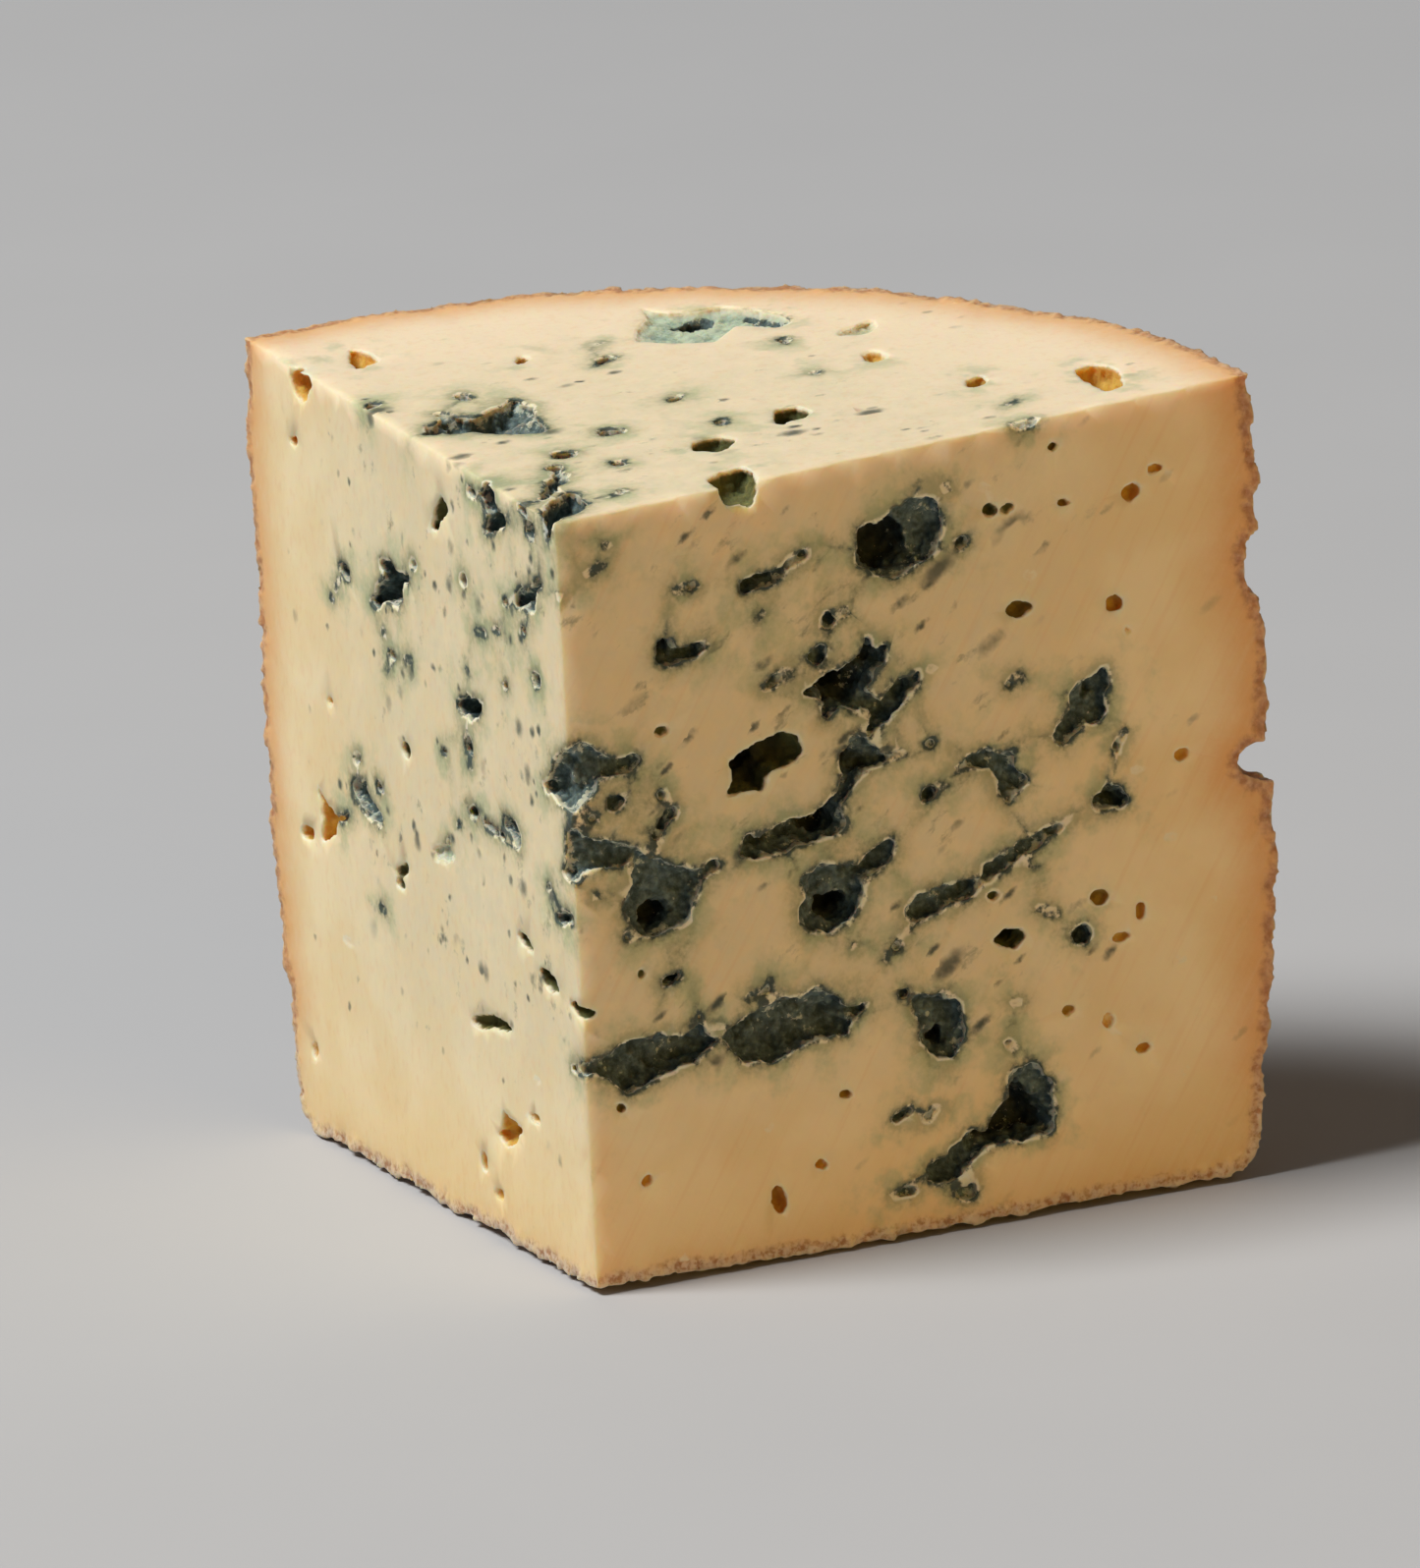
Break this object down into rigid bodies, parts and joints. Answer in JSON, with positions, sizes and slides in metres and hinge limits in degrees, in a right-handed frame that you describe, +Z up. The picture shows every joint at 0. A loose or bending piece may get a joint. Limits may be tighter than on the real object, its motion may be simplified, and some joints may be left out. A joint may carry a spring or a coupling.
{
  "type": "cheese wedge",
  "caption": "Quarter wedge of a half-height blue cheese drum: two upright cut faces and a nearly level one on top, rind on the curved back and the underside.",
  "frame": {"origin": "middle of the wedge's box, on the surface that it stands on", "axes": "+Z up; the front edge where the two upright cuts meet faces -Y, the rind faces +Y, and +X is to the right of the front edge"},
  "size_m": [0.0928, 0.0658, 0.072],
  "materials": {
    "paste": "satin",
    "rind": "matte",
    "blue_mould": "matte"
  },
  "bodies": {
    "root": {"cheese_wedge": "paste"}
  },
  "joints": []
}
